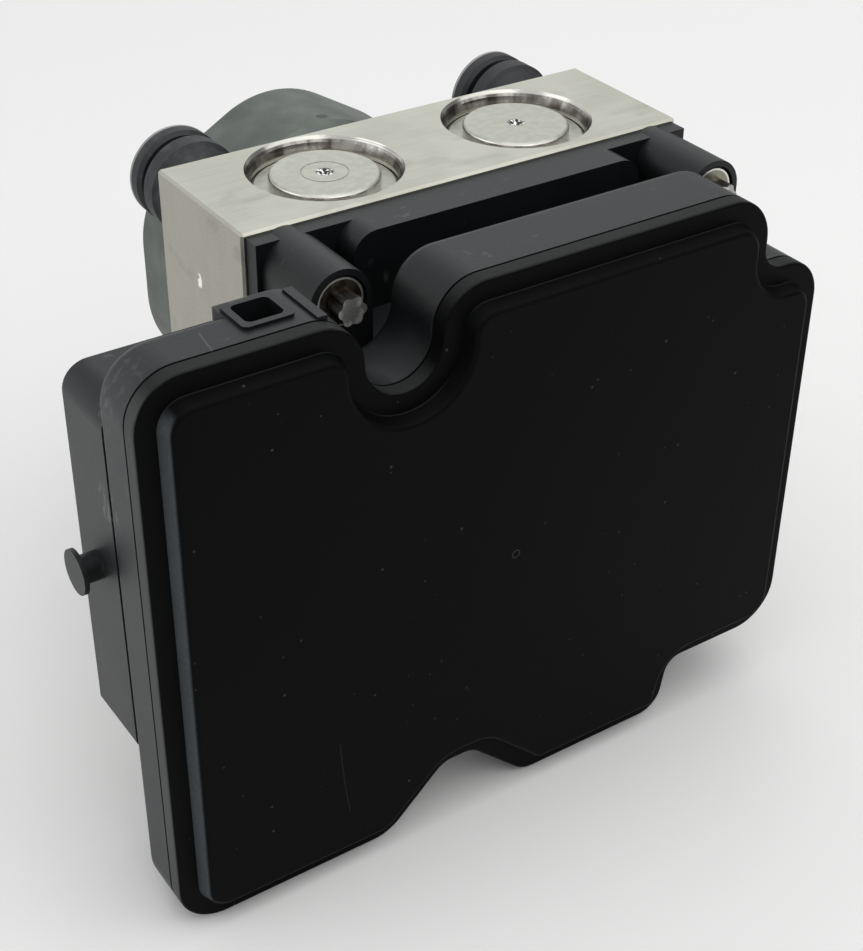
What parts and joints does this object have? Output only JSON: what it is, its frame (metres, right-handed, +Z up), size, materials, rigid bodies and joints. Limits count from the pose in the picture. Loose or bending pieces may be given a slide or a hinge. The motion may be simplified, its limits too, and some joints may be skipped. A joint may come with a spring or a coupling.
{
  "type": "abs brake module",
  "caption": "Anti-lock brake hydraulic unit: an aluminium valve block with a pump motor behind, a black control unit bolted in front, accumulator caps on top and rubber mounts.",
  "frame": {"origin": "midway between the two rubber mounts' screw holes, on the mounts' rear faces", "axes": "+Z up, +Y to the rear along the motor and out of the mounts' screw holes, +X to the right seen from the control unit's cover"},
  "size_m": [0.1523, 0.1309, 0.1204],
  "materials": {
    "block_aluminium": "machined, fine tool lines",
    "cap_aluminium": "satin pressed aluminium",
    "inner_aluminium": "hard anodised",
    "plug_aluminium": "turned",
    "housing_plastic": "moulded black, satin",
    "cover_plastic": "moulded black, matte",
    "inner_plastic": "moulded",
    "coil_plastic": "over-moulded coil",
    "chip_plastic": "moulded package",
    "board": "lacquered laminate",
    "seal_rubber": "smooth",
    "mount_rubber": "moulded, dusty",
    "insert_steel": "plated",
    "plated_steel": "zinc plated",
    "screw_steel": "plated",
    "flange_screw_steel": "tarnished plating",
    "ground_steel": "ground",
    "spring_steel": "drawn wire",
    "lamination_steel": "stacked sheets",
    "ferrite": "sintered",
    "carbon": "pressed carbon",
    "bronze": "sintered bronze",
    "copper": "enamelled copper",
    "pin_metal": "tinned"
  },
  "bodies": {
    "root": {"valve_block": "block_aluminium", "accumulator_cap_left": "cap_aluminium", "accumulator_spring_left": "spring_steel", "pump_plug_left": "plug_aluminium", "pump_spring_left": "spring_steel", "mount_rubber_left": "mount_rubber", "mount_insert_left": "insert_steel", "accumulator_cap_right": "cap_aluminium", "accumulator_spring_right": "spring_steel", "pump_plug_right": "plug_aluminium", "pump_spring_right": "spring_steel", "mount_rubber_right": "mount_rubber", "mount_insert_right": "insert_steel", "motor_can": "plated_steel", "motor_end_plate": "plated_steel", "motor_magnets": "ferrite", "motor_brushes": "carbon", "brush_carrier": "inner_plastic", "motor_seal": "seal_rubber", "motor_plug": "inner_plastic", "motor_screws": "screw_steel", "front_bush": "bronze", "rear_bush": "bronze", "nose_bush": "bronze", "ecu_housing": "housing_plastic", "ecu_cover": "cover_plastic", "ecu_gasket": "seal_rubber", "circuit_board": "board", "board_chips": "chip_plastic", "connector_pins": "pin_metal", "coil_terminals": "pin_metal", "ecu_screws": "flange_screw_steel", "screw_sleeves": "plated_steel", "ecu_rear_screws": "screw_steel", "inlet_valves": "ground_steel", "outlet_valves": "ground_steel", "inlet_coils": "coil_plastic", "outlet_coils": "coil_plastic"},
    "rotor": {"motor_shaft": "ground_steel", "rotor_core": "lamination_steel", "rotor_windings": "copper", "commutator": "copper"},
    "cam": {"cam_ring": "ground_steel"},
    "accumulator_left": {"accumulator_piston_left": "inner_aluminium", "accumulator_seal_left": "seal_rubber"},
    "accumulator_right": {"accumulator_piston_right": "inner_aluminium", "accumulator_seal_right": "seal_rubber"},
    "pump_left": {"pump_piston_left": "ground_steel"},
    "pump_right": {"pump_piston_right": "ground_steel"},
    "inlet_armature_1": {"inlet_armature_1": "ground_steel"},
    "inlet_armature_2": {"inlet_armature_2": "ground_steel"},
    "inlet_armature_3": {"inlet_armature_3": "ground_steel"},
    "inlet_armature_4": {"inlet_armature_4": "ground_steel"},
    "outlet_armature_1": {"outlet_armature_1": "ground_steel"},
    "outlet_armature_2": {"outlet_armature_2": "ground_steel"},
    "outlet_armature_3": {"outlet_armature_3": "ground_steel"},
    "outlet_armature_4": {"outlet_armature_4": "ground_steel"}
  },
  "joints": [
    {"name": "rotor_spin", "type": "hinge", "parent": "root", "child": "rotor", "pos_m": [0, 0.007, -0.0373], "axis": [0, 1, 0], "continuous": true},
    {"name": "cam_ring_roll", "type": "hinge", "parent": "rotor", "child": "cam", "pos_m": [0, -0.034, -0.0363], "axis": [0, 1, 0], "continuous": true},
    {"name": "accumulator_slide_left", "type": "slide", "parent": "root", "child": "accumulator_left", "axis": [0, 0, 1], "range_m": [0, 0.007], "stiffness_N_per_m": 2000, "springref_m": -0.004, "deforming": ["accumulator_spring_left"]},
    {"name": "accumulator_slide_right", "type": "slide", "parent": "root", "child": "accumulator_right", "axis": [0, 0, 1], "range_m": [0, 0.007], "stiffness_N_per_m": 2000, "springref_m": -0.004, "deforming": ["accumulator_spring_right"]},
    {"name": "pump_slide_left", "type": "slide", "parent": "root", "child": "pump_left", "axis": [-1, 0, 0], "range_m": [0, 0.002], "stiffness_N_per_m": 1500, "springref_m": -0.002, "deforming": ["pump_spring_left"]},
    {"name": "pump_slide_right", "type": "slide", "parent": "root", "child": "pump_right", "axis": [1, 0, 0], "range_m": [0, 0.002], "stiffness_N_per_m": 1500, "springref_m": -0.002, "deforming": ["pump_spring_right"]},
    {"name": "inlet_valve_lift_1", "type": "slide", "parent": "root", "child": "inlet_armature_1", "axis": [0, 1, 0], "range_m": [0, 0.0003], "stiffness_N_per_m": 1500, "springref_m": -0.001},
    {"name": "inlet_valve_lift_2", "type": "slide", "parent": "root", "child": "inlet_armature_2", "axis": [0, 1, 0], "range_m": [0, 0.0003], "stiffness_N_per_m": 1500, "springref_m": -0.001},
    {"name": "inlet_valve_lift_3", "type": "slide", "parent": "root", "child": "inlet_armature_3", "axis": [0, 1, 0], "range_m": [0, 0.0003], "stiffness_N_per_m": 1500, "springref_m": -0.001},
    {"name": "inlet_valve_lift_4", "type": "slide", "parent": "root", "child": "inlet_armature_4", "axis": [0, 1, 0], "range_m": [0, 0.0003], "stiffness_N_per_m": 1500, "springref_m": -0.001},
    {"name": "outlet_valve_lift_1", "type": "slide", "parent": "root", "child": "outlet_armature_1", "axis": [0, -1, 0], "range_m": [0, 0.0003], "stiffness_N_per_m": 1500, "springref_m": -0.001},
    {"name": "outlet_valve_lift_2", "type": "slide", "parent": "root", "child": "outlet_armature_2", "axis": [0, -1, 0], "range_m": [0, 0.0003], "stiffness_N_per_m": 1500, "springref_m": -0.001},
    {"name": "outlet_valve_lift_3", "type": "slide", "parent": "root", "child": "outlet_armature_3", "axis": [0, -1, 0], "range_m": [0, 0.0003], "stiffness_N_per_m": 1500, "springref_m": -0.001},
    {"name": "outlet_valve_lift_4", "type": "slide", "parent": "root", "child": "outlet_armature_4", "axis": [0, -1, 0], "range_m": [0, 0.0003], "stiffness_N_per_m": 1500, "springref_m": -0.001}
  ],
  "couplings": [
    {"joint": "cam_ring_roll", "follows": "rotor_spin", "ratio": -1}
  ]
}
